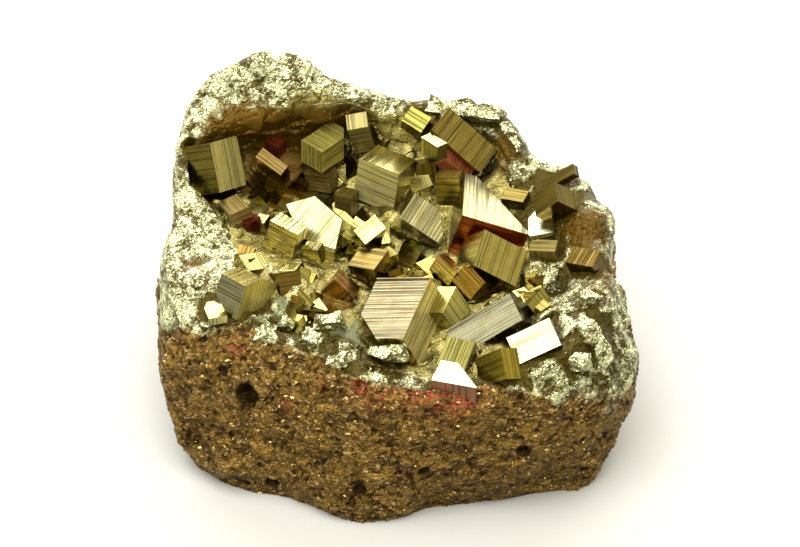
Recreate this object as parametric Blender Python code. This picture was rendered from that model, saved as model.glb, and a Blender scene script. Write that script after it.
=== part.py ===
"""A pyrite cluster: a lump of granular pyrite whose hollowed top is lined with striated crystals.

Lump and crystals grew together, so they are one solid. It was broken off its bed on a flat cut and
rests on it. The tables below are in millimetres; the model is built in metres, +Z up, the cut at
z = 0 and the middle of the outline over the origin. The front, where the wall is lowest, faces -Y.
"""

import math
import random

import bmesh
import bpy
from mathutils import Euler, Matrix, Vector, noise
from mathutils.bvhtree import BVHTree

MM = 0.001

# The lump, read by compass bearing: degrees from +X towards +Y. At each bearing the outside climbs
# from the foot over the belly and the brow to the crest; from there a slope leads in to the lip,
# and the hollow falls from the lip to its floor.
# (bearing, foot radius, then radius and height of belly, brow, crest, lip and floor)
STONE_PROFILES = (
    (-173, 35.5, 39.2, 18, 38.6, 24.5, 36.5, 29.0, 31.0, 30.4, 24, 29.3),
    (-158, 37.0, 40.6, 12, 38.6, 21.5, 35.5, 26.5, 30.0, 29.6, 23, 28.5),
    (-147, 37.0, 38.8, 6, 35.2, 20.0, 30.0, 26.5, 25.0, 28.5, 20, 27.0),
    (-131, 32.6, 33.6, 6, 31.0, 20.5, 28.0, 25.5, 23.0, 27.5, 18, 26.5),
    (-116, 31.0, 32.3, 6, 29.3, 20.5, 27.0, 25.0, 22.0, 27.0, 16, 26.0),
    (-101, 32.0, 32.6, 4, 29.8, 19.5, 27.0, 25.2, 23.5, 25.8, 17, 24.8),
    (-82, 29.0, 30.8, 8, 30.0, 19.8, 27.6, 24.2, 24.4, 24.4, 18, 24.3),
    (-64, 29.8, 33.0, 9, 32.5, 19.8, 30.3, 24.8, 27.4, 24.9, 20, 24.3),
    (-50, 32.5, 37.0, 10, 37.0, 19.0, 35.0, 24.5, 31.0, 27.5, 24, 26.0),
    (-36, 38.5, 41.0, 9, 41.0, 19.0, 37.5, 25.5, 33.0, 28.5, 25, 26.5),
    (-21, 37.0, 42.2, 14, 41.0, 20.5, 38.0, 26.5, 33.5, 29.0, 26, 27.0),
    (-8, 34.0, 38.6, 18, 38.0, 23.0, 36.5, 27.5, 33.0, 29.5, 26, 27.0),
    (5, 32.0, 36.4, 20, 36.0, 24.5, 35.0, 28.5, 31.5, 30.0, 25, 28.0),
    (20, 33.0, 36.8, 20, 37.2, 27.0, 36.0, 30.5, 32.5, 32.0, 24, 29.0),
    (36, 33.0, 37.0, 18, 37.0, 28.0, 35.5, 32.5, 31.5, 33.0, 23, 30.0),
    (46, 33.0, 36.0, 18, 34.5, 29.5, 31.8, 34.0, 28.5, 34.0, 23, 29.5),
    (60, 33.0, 36.5, 18, 36.5, 32.0, 34.2, 37.3, 30.5, 36.5, 25, 29.5),
    (76, 33.0, 36.0, 18, 35.5, 33.0, 32.3, 38.2, 29.0, 37.0, 24, 30.0),
    (92, 32.0, 35.5, 18, 35.5, 33.0, 31.8, 38.5, 28.0, 37.0, 23, 30.0),
    (106, 35.0, 38.5, 20, 38.0, 36.0, 33.6, 41.5, 29.5, 39.5, 28, 28.5),
    (120, 38.0, 42.5, 20, 43.0, 37.0, 38.5, 46.0, 31.5, 39.5, 30, 27.5),
    (135, 41.0, 46.0, 20, 47.3, 34.0, 46.2, 40.5, 37.0, 38.5, 34, 28.0),
    (148, 39.0, 42.5, 18, 43.0, 30.0, 42.5, 35.0, 40.0, 35.0, 37, 29.0),
    (160, 37.0, 39.5, 18, 39.3, 26.0, 38.5, 30.0, 35.5, 31.0, 29, 29.5),
)
MIDDLE_HEIGHT = 25.0
MIDDLE_OF_OUTLINE = (0.0, 3.0)

# Lumps and hollows that stand out from a step away: (x, y, z, reach, height), a hollow below zero.
STONE_SWELLS = (
    (-15.0, -20.5, 20.0, 4.5, -2.2),
    (-14.0, -24.0, 8.0, 5.0, -1.0),
    (-33.0, 2.0, 31.0, 4.0, -1.8),
    (31.0, -17.0, 27.5, 5.0, 1.8),
    (35.0, -12.0, 25.0, 3.5, -1.4),
    (33.0, 9.0, 31.0, 5.0, 1.2),
    (-20.0, 29.0, 45.0, 6.0, 1.4),
    (-8.0, 24.0, 40.0, 4.0, 1.6),
    (-20.0, -11.0, 28.5, 4.5, -1.6),
)
# Grains and lumps all over: the distance between two of them and how far they stand out, for the
# coarse and the fine ones.
LUMP_SPACING = (7.0, 3.4)
LUMP_HEIGHT = (1.1, 0.5)
# Above the foot the stone keeps this far from the cut, so that only the cut is flat.
LEAST_HEIGHT = 0.4

# Pits where grains have fallen out: (bearing, how far along the profile, radius).
STONE_PITS = (
    (-138, 1.9, 1.8),
    (-129, 0.6, 1.1),
    (-101, 1.2, 0.9),
    (-82, 1.2, 0.9),
    (-55, 1.35, 1.2),
    (147, 3.6, 1.0),
)

# Small crystals that crowd between the large ones: how many, how far in along the profile they
# stand (3 is the crest, 4 the lip, 6 the middle), the length of their edges, how far their middles
# are sunk, and how far they keep from the large ones.
SMALL_CRYSTALS = 220
SMALL_REACH = (4.9, 5.95)
SMALL_SIZE = (2.2, 4.2)
SMALL_SINK = 0.7
SMALL_CLEARANCE = 1.5
SMALL_SEED = 5

# How finely the stone is divided: steps round it, and rings between two points of its profile.
BEARING_STEPS = 96
RINGS_PER_SPAN = (3, 4, 2, 3, 4, 4)
LAST = len(RINGS_PER_SPAN)

# The crystals, each as a drawing of the lump shows it, seen from the front and VIEW_RISE above the
# horizon: (name, how far its nearest corner lies to the right and up on the drawing, height of that
# corner above the base, directions on the drawing of the three edges that leave the corner, in
# degrees from the right, lengths of these edges, cuts). A cut takes a corner or an edge off: it
# names the corner by 0 or 1 along each edge and gives the distances at which it crosses the three
# edges there, or 0 where it runs along one.
VIEW_RISE = 40.0
CRYSTALS = (
    ("tall_left", -31.0, 42.0, 38.0, (281, 18, 188), (8.4, 8.2, 5.0), ()),
    ("gold_lozenge", -19.3, 36.7, 32.0, (144, 52, 280), (5.3, 2.0, 7.5), ()),
    ("red_facet", -20.0, 41.2, 32.0, (150, 45, 275), (2.6, 2.3, 2.6), ()),
    ("low_left", -27.7, 30.0, 31.0, (133, 25, 288), (5.4, 3.6, 2.5), ()),
    ("lip_red", -24.2, 28.7, 30.0, (160, 35, 280), (4.3, 2.4, 2.0), ()),
    ("gold_sliver", -16.7, 36.0, 28.5, (220, 60, 320), (5.1, 2.1, 2.0), ()),
    ("gold_bit", -20.7, 33.0, 28.5, (190, 60, 300), (2.6, 2.0, 2.0), ()),
    ("dark_step", -11.5, 36.7, 30.0, (172, 280, 50), (4.5, 3.5, 3.0), ()),
    ("dark_step_low", -7.8, 32.8, 29.5, (165, 272, 45), (3.0, 4.0, 3.0), ()),
    ("grooved_back", -12.5, 40.5, 35.0, (150, 35, 270), (4.7, 7.3, 4.5), (((0, 1, 0), (1.7, 1.9, 0)),)),
    ("smooth_back", -4.8, 44.8, 38.0, (190, 288, 97), (3.5, 7.5, 3.0), ()),
    ("broad_cube", 0.3, 36.8, 34.0, (157, 261, 38), (7.7, 7.8, 6.0), ()),
    ("striped_back", 4.0, 43.8, 37.0, (148, 55, 262), (3.9, 3.2, 8.0), ()),
    ("ridge_cube", 5.7, 44.2, 38.5, (319, 52, 195), (10.9, 5.0, 7.0), (((1, 0, 1), (5.4, 3.0, 6.5)),)),
    ("pink_face", 8.0, 39.2, 33.5, (73, 327, 200), (2.6, 5.8, 3.0), ()),
    ("dull_block", 10.3, 36.3, 32.5, (180, 274, 60), (4.1, 5.3, 6.5), ()),
    ("rim_plate", 16.7, 45.8, 38.5, (172, 80, 300), (12.0, 2.6, 5.0), ()),
    ("rim_plate_low", 19.8, 40.8, 35.5, (122, 30, 250), (5.1, 1.5, 4.0), ()),
    (
        "bright_plate", -7.4, 27.8, 30.4, (230, 139, 327), (6.3, 11.8, 5.0),
        (
            ((0, 0, 0), (4.3, 2.4, 0)), ((0, 1, 0), (4.2, 3.0, 0)), ((1, 1, 0), (2.2, 5.1, 0)),
            ((1, 0, 0), (2.0, 2.9, 0)),
        ),
    ),
    ("left_cube", -16.3, 26.8, 32.0, (153, 254, 40), (5.4, 5.8, 3.6), ()),
    ("grey_sliver", -22.0, 28.7, 29.5, (170, 288, 55), (2.0, 3.7, 2.0), ()),
    ("small_bright", -5.2, 25.2, 29.5, (38, 130, 250), (4.5, 3.0, 6.0), ()),
    ("little_white", -10.0, 27.5, 29.0, (322, 63, 226), (2.8, 1.9, 2.5), ()),
    ("dark_roof", 0.5, 29.7, 31.8, (326, 58, 222), (7.7, 5.0, 7.0), (((1, 1, 0), (2.7, 3.5, 0)),)),
    ("gold_mid", -3.8, 21.0, 28.8, (170, 55, 290), (5.2, 4.9, 3.4), ()),
    ("olive_mid", -2.0, 22.8, 28.0, (142, 22, 268), (2.6, 2.9, 2.4), ()),
    ("green_mid", 2.8, 24.5, 28.0, (145, 247, 22), (2.3, 3.8, 2.8), ()),
    ("gold_wedge", -13.2, 24.2, 29.0, (172, 288, 50), (3.2, 3.4, 2.0), ()),
    ("gold_wedge_low", -10.3, 24.0, 28.0, (165, 262, 45), (2.2, 3.3, 2.8), ()),
    ("pale_wedge", 9.8, 20.5, 28.5, (135, 238, 10), (4.7, 3.0, 2.2), ()),
    ("great_slab", 10.8, 30.0, 34.0, (344, 86, 248), (11.5, 12.0, 8.1), (((1, 1, 0), (9.4, 11.4, 0)),)),
    ("under_slab", 12.5, 21.8, 31.0, (72, 333, 200), (6.6, 8.7, 6.4), ()),
    ("stepped_cube", 14.5, 19.0, 28.8, (133, 229, 340), (5.0, 4.0, 6.5), ()),
    (
        "great_front", 1.0, 9.8, 29.0, (66, 181, 302), (13.3, 10.3, 7.8),
        (((0, 1, 0), (5.5, 5.1, 0)), ((1, 0, 1), (4.0, 0, 3.5))),
    ),
    ("mid_olive", 7.5, 14.0, 28.9, (63, 305, 180), (5.6, 8.2, 3.6), ()),
    ("long_bar", 20.5, 12.8, 30.0, (210, 116, 341), (12.4, 5.0, 6.0), ()),
    ("second_bar", 26.7, 8.8, 30.0, (205, 114, 324), (7.7, 4.9, 7.7), ()),
    ("gold_front", 17.7, 3.3, 27.4, (100, 203, 0), (5.2, 6.6, 3.4), ()),
    ("front_olive", 11.0, 4.6, 24.7, (68, 168, 295), (5.4, 5.0, 3.4), ()),
    ("front_plate", 12.9, 1.8, 26.0, (170, 62, 270), (7.7, 5.8, 4.0), (((0, 1, 0), (4.8, 5.6, 0)),)),
    ("brown_small", -10.3, 19.5, 29.4, (317, 60, 222), (4.5, 3.7, 3.5), ()),
    (
        "left_pair", -24.8, 18.3, 34.6, (255, 152, 22), (6.3, 4.9, 11.0),
        (((0, 0, 1), (2.8, 0, 6.0)), ((1, 1, 0), (2.5, 3.0, 0))),
    ),
    ("left_white", -30.7, 13.0, 29.4, (10, 115, 272), (3.1, 4.7, 1.4), (((0, 1, 0), (0.8, 1.5, 0)),)),
    ("low_gold", -21.5, 10.8, 29.2, (95, 215, 332), (2.5, 2.8, 3.1), ()),
    ("brown_disc", -18.0, 12.3, 27.5, (90, 205, 325), (2.0, 2.5, 2.4), ()),
    ("nugget_top", -9.3, 12.3, 28.0, (188, 75, 300), (5.5, 2.2, 1.9), ()),
    ("nugget_mid", -8.7, 6.3, 27.8, (195, 80, 305), (3.1, 2.1, 1.9), ()),
    ("nugget_front", 0.7, 7.2, 27.5, (184, 78, 300), (6.1, 2.4, 2.2), ()),
    ("nugget_left", -13.5, 9.0, 28.3, (170, 50, 280), (3.0, 3.2, 2.4), ()),
    (
        "white_right", 25.8, 27.2, 31.0, (190, 90, 286), (4.2, 7.0, 3.8),
        (((0, 1, 0), (2.5, 3.5, 0)), ((1, 1, 0), (1.5, 2.1, 0))),
    ),
    ("right_panel", 26.5, 32.3, 35.4, (336, 100, 215), (9.5, 4.0, 5.1), ()),
    ("upper_bar", 29.4, 36.9, 34.9, (207, 100, 330), (7.6, 2.0, 1.4), ()),
    ("right_striped", 32.0, 21.5, 31.2, (170, 300, 60), (5.4, 5.6, 3.4), ()),
    ("little_roof", 25.8, 18.8, 28.0, (325, 90, 210), (3.0, 3.2, 2.5), ()),
    ("olive_stub", 31.0, 16.5, 31.0, (18, 155, 272), (2.8, 2.0, 2.5), ()),
    ("ledge_right", 20.8, 32.2, 31.5, (170, 60, 285), (4.0, 2.7, 2.7), ()),
    ("under_white", 26.0, 24.0, 29.5, (178, 75, 290), (4.6, 2.4, 3.1), ()),
    ("gold_ball", 30.0, 5.7, 28.5, (150, 30, 270), (2.7, 2.7, 2.4), ()),
)


def between(p0, p1, p2, p3, share):
    """A smooth curve through p1 (share 0) and p2 (share 1), with p0 and p3 as neighbours."""
    return 0.5 * (
        2 * p1
        + (p2 - p0) * share
        + (2 * p0 - 5 * p1 + 4 * p2 - p3) * share**2
        + (3 * p1 - p0 - 3 * p2 + p3) * share**3
    )


def profile_at(bearing):
    """The stone's seven profile points (radius, height) at a bearing, foot first, middle last."""
    count = len(STONE_PROFILES)
    after = next((i for i, row in enumerate(STONE_PROFILES) if row[0] > bearing), 0)
    rows = [STONE_PROFILES[(after + shift) % count] for shift in (-2, -1, 0, 1)]
    span = (rows[2][0] - rows[1][0]) % 360
    share = ((bearing - rows[1][0]) % 360) / span
    foot, *others = [between(*(row[i] for row in rows), share) for i in range(1, len(rows[0]))]
    return [(foot, 0.0), *zip(others[0::2], others[1::2]), (0.0, MIDDLE_HEIGHT)]


def plain_point(bearing, along):
    """A point of the stone before its lumps: along runs from 0, the foot, to LAST, the middle."""
    profile = profile_at(bearing)
    span = min(int(along), LAST - 1)
    ends = [profile[max(0, min(LAST, span + shift))] for shift in (-1, 0, 1, 2)]
    radius, height = (between(*(end[i] for end in ends), along - span) for i in (0, 1))
    angle = math.radians(bearing)
    return Vector((radius * math.cos(angle), radius * math.sin(angle), height))


def lumps(point):
    """How far the stone stands out from its plain shape at a point, in millimetres."""
    height = sum(
        tall * noise.noise(point / spacing) for spacing, tall in zip(LUMP_SPACING, LUMP_HEIGHT)
    )
    for x, y, z, reach, tall in STONE_SWELLS:
        distance = (point - Vector((x, y, z))).length
        height += tall * math.exp(-((distance / reach) ** 2))
    return height


def stone_point(bearing, along):
    """A point of the finished stone: the plain point moved along its normal by the lumps."""
    point = plain_point(bearing, along)
    if along >= LAST:
        return point + Vector((0, 0, lumps(point)))
    round_step = plain_point(bearing + 1, along) - plain_point(bearing - 1, along)
    up_step = plain_point(bearing, min(LAST, along + 0.05)) - plain_point(bearing, max(0, along - 0.05))
    normal = round_step.cross(up_step).normalized()
    moved = point + normal * lumps(point)
    if along == 0:
        moved.z = 0.0
    else:
        moved.z = max(moved.z, LEAST_HEIGHT)
    return moved


def stone_mesh():
    """The stone as one closed mesh: rings from the foot up and in to the middle, and a flat base."""
    levels = [
        span + step / steps for span, steps in enumerate(RINGS_PER_SPAN) for step in range(steps)
    ]
    bm = bmesh.new()
    rings = []
    for along in levels:
        bearings = (360 * i / BEARING_STEPS - 180 for i in range(BEARING_STEPS))
        rings.append([bm.verts.new(stone_point(bearing, along) * MM) for bearing in bearings])
    middle = bm.verts.new(stone_point(0, LAST) * MM)
    for low, high in zip(rings, rings[1:]):
        for i in range(BEARING_STEPS):
            j = (i + 1) % BEARING_STEPS
            bm.faces.new((low[i], low[j], high[j], high[i]))
    for i in range(BEARING_STEPS):
        bm.faces.new((rings[-1][i], rings[-1][(i + 1) % BEARING_STEPS], middle))
    bm.faces.new(reversed(rings[0]))
    bmesh.ops.triangulate(bm, faces=bm.faces[:-1])
    return bm


def edge_directions(drawn):
    """The three directions, square to each other, that the drawing shows at these angles."""
    rise = math.radians(VIEW_RISE)
    right = Vector((1, 0, 0))
    up = Vector((0, math.sin(rise), math.cos(rise)))
    away = Vector((0, math.cos(rise), -math.sin(rise)))
    angles = [math.radians(angle) for angle in drawn]
    first, second, third = (-math.cos(angles[i] - angles[j]) for i, j in ((1, 2), (0, 2), (0, 1)))
    slopes = (second * third / first, first * third / second, first * second / third)
    directions = []
    for angle, slope in zip(angles, slopes):
        along_drawing = right * math.cos(angle) + up * math.sin(angle)
        directions.append((along_drawing + away * math.sqrt(slope)).normalized())
    return directions


def corner_place(right, up, height):
    """The place of a corner that the drawing shows at (right, up) and that lies at a height."""
    rise = math.radians(VIEW_RISE)
    return Vector((right, (up - height * math.cos(rise)) / math.sin(rise), height))


def crystal_mesh(right, up, height, drawn, size, cuts):
    """One crystal: a box on its three edges, less its cut corners."""
    bm = bmesh.new()
    bmesh.ops.create_cube(bm, size=1.0, matrix=Matrix.Translation((0.5, 0.5, 0.5)))
    bmesh.ops.scale(bm, vec=size, verts=bm.verts)
    for corner, distances in cuts:
        outward = Vector([(1 if end else -1) / far if far else 0.0 for end, far in zip(corner, distances)])
        tip = Vector([length * end for length, end in zip(size, corner)])
        on_plane = tip - outward / outward.length_squared
        geometry = bm.verts[:] + bm.edges[:] + bm.faces[:]
        cut = bmesh.ops.bisect_plane(bm, geom=geometry, plane_co=on_plane, plane_no=outward, clear_outer=True)
        rim = [item for item in cut["geom_cut"] if isinstance(item, bmesh.types.BMEdge)]
        bmesh.ops.contextual_create(bm, geom=rim)
    axes = Matrix(edge_directions(drawn)).transposed()
    place = Matrix.Translation(corner_place(right, up, height)) @ axes.to_4x4()
    bmesh.ops.transform(bm, matrix=Matrix.Scale(MM, 4) @ place, verts=bm.verts)
    bmesh.ops.recalc_face_normals(bm, faces=bm.faces)
    return bm


def crowds(place, right, up, height, drawn, size):
    """Whether a place lies in a large crystal or closer to it than the clearance."""
    offset = place - corner_place(right, up, height)
    for direction, length in zip(edge_directions(drawn), size):
        if not -SMALL_CLEARANCE < offset.dot(direction) < length + SMALL_CLEARANCE:
            return False
    return True


def hides(bm, trees):
    """Whether the drawing shows a corner of a block in front of a large crystal."""
    rise = math.radians(VIEW_RISE)
    away = Vector((0, math.cos(rise), -math.sin(rise)))
    return any(tree.ray_cast(vertex.co, away)[0] for tree in trees for vertex in bm.verts)


def small_crystal_meshes():
    """Little blocks, turned any way and sunk by about half into the stone.

    They keep clear of the large ones and in no drawing from the front stand before them.
    """
    chance = random.Random(SMALL_SEED)
    trees = [BVHTree.FromBMesh(crystal_mesh(*shape)) for name, *shape in CRYSTALS]
    for _ in range(SMALL_CRYSTALS):
        place = stone_point(chance.uniform(-180, 180), chance.uniform(*SMALL_REACH))
        place.z -= SMALL_SINK
        size = [chance.uniform(*SMALL_SIZE) for _ in range(3)]
        turn = Euler([chance.uniform(0, math.tau) for _ in range(3)]).to_matrix().to_4x4()
        if any(crowds(place, *crystal[1:6]) for crystal in CRYSTALS):
            continue
        bm = bmesh.new()
        bmesh.ops.create_cube(bm, size=MM)
        bmesh.ops.scale(bm, vec=size, verts=bm.verts)
        bmesh.ops.transform(bm, matrix=Matrix.Translation(place * MM) @ turn, verts=bm.verts)
        if not hides(bm, trees):
            yield bm


def add_object(name, bm, collection):
    """Turn a bmesh into an object, shifted so that the outline's middle is over the origin."""
    shift = Vector((-MIDDLE_OF_OUTLINE[0], -MIDDLE_OF_OUTLINE[1], 0)) * MM
    bmesh.ops.translate(bm, vec=shift, verts=bm.verts)
    mesh = bpy.data.meshes.new(name)
    bm.to_mesh(mesh)
    bm.free()
    new_object = bpy.data.objects.new(name, mesh)
    collection.objects.link(new_object)
    return new_object


def helper_collection(name):
    """A collection for shapes that are joined to or cut from the stone, and aren't pieces."""
    collection = bpy.data.collections.new(name)
    bpy.context.scene.collection.children.link(collection)
    return collection


def add_helper(name, bm, collection):
    """A shape that only a Boolean uses."""
    helper = add_object(name, bm, collection)
    helper.hide_render = True
    helper.display_type = "WIRE"


def pit_mesh(bearing, along, radius):
    """A rough ball on the stone's surface, to be cut out of it."""
    bm = bmesh.new()
    place = Matrix.Translation(stone_point(bearing, along) * MM)
    bmesh.ops.create_icosphere(bm, subdivisions=1, radius=radius * MM, matrix=place)
    return bm


def join(target, collection, operation):
    """Add or cut all the shapes of a collection, with an exact Boolean."""
    boolean = target.modifiers.new(collection.name, "BOOLEAN")
    boolean.operation = operation
    boolean.operand_type = "COLLECTION"
    boolean.collection = collection
    boolean.solver = "EXACT"


def pyrite_material():
    """Brassy yellow iron sulphide, with a metallic lustre."""
    material = bpy.data.materials.new("pyrite")
    material.use_nodes = True
    shader = material.node_tree.nodes["Principled BSDF"]
    shader.inputs["Base Color"].default_value = (0.46, 0.38, 0.15, 1)
    shader.inputs["Metallic"].default_value = 1.0
    shader.inputs["Roughness"].default_value = 0.3
    return material


def build():
    """Make the cluster: stone, less its pits, joined with its crystals."""
    for old in list(bpy.data.objects):
        bpy.data.objects.remove(old, do_unlink=True)
    cluster = add_object("pyrite_cluster", stone_mesh(), bpy.context.scene.collection)
    cluster.data.materials.append(pyrite_material())
    pits = helper_collection("pits")
    for number, pit in enumerate(STONE_PITS):
        add_helper(f"pit_{number + 1}", pit_mesh(*pit), pits)
    join(cluster, pits, "DIFFERENCE")
    crystals = helper_collection("crystals")
    for name, *shape in CRYSTALS:
        add_helper(name, crystal_mesh(*shape), crystals)
    for number, small in enumerate(small_crystal_meshes()):
        add_helper(f"small_{number + 1}", small, crystals)
    join(cluster, crystals, "UNION")


build()
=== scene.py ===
"""Looks for the pyrite cluster: a lump of granular pyrite whose hollowed top is lined with crystals.

The front of the lump faces -Y. Sizes are in millimetres until a mesh is finished.
"""

import itertools
import math
import random

import bmesh
import bpy
import numpy as np
from mathutils import Euler, Matrix, Vector, kdtree, noise
from mathutils.bvhtree import BVHTree


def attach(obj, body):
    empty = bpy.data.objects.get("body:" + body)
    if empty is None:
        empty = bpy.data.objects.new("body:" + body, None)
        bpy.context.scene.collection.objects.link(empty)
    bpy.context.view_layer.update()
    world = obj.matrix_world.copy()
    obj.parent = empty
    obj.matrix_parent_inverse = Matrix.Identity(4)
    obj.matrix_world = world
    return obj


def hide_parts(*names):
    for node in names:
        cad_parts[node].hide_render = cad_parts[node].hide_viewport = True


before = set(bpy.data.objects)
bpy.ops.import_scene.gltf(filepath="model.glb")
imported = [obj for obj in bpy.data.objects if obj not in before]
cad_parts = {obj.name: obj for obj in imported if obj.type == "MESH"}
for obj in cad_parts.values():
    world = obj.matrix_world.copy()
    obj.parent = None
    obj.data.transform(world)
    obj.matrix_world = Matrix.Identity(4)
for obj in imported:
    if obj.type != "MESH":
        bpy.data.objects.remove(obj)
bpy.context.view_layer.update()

# The camera, 1.5 m away on a long lens and 40 degrees above the horizon, as the photograph was taken.
# Its picture is 800 pixels wide and shows 6 pixels for a millimetre of the cluster.
MM = 0.001
VIEW_RISE = 40.0
LENS = 400.0
SENSOR = 36.0
PICTURE_WIDTH = 800
PIXELS_PER_MM = 6.0
# What the middle of the picture shows: a point this far right of the middle of the base, in front of
# it and up in the picture, in millimetres.
AIM_RIGHT = 0.5
AIM_FORWARD = 3.0
AIM_UP = 20.4

rise = math.radians(VIEW_RISE)
towards_camera = Vector((0, -math.cos(rise), math.sin(rise)))
up_in_picture = Vector((0, math.sin(rise), math.cos(rise)))
aim = (Vector((AIM_RIGHT, -AIM_FORWARD, 0)) + up_in_picture * AIM_UP) * MM
camera_distance = LENS / SENSOR * PICTURE_WIDTH / PIXELS_PER_MM * MM
camera = bpy.data.objects.new("camera", bpy.data.cameras.new("camera"))
camera.data.lens = LENS
camera.data.sensor_width = SENSOR
camera.location = aim + towards_camera * camera_distance
camera.rotation_euler = (math.pi / 2 - rise, 0, 0)
bpy.context.scene.collection.objects.link(camera)
bpy.context.scene.camera = camera

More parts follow.
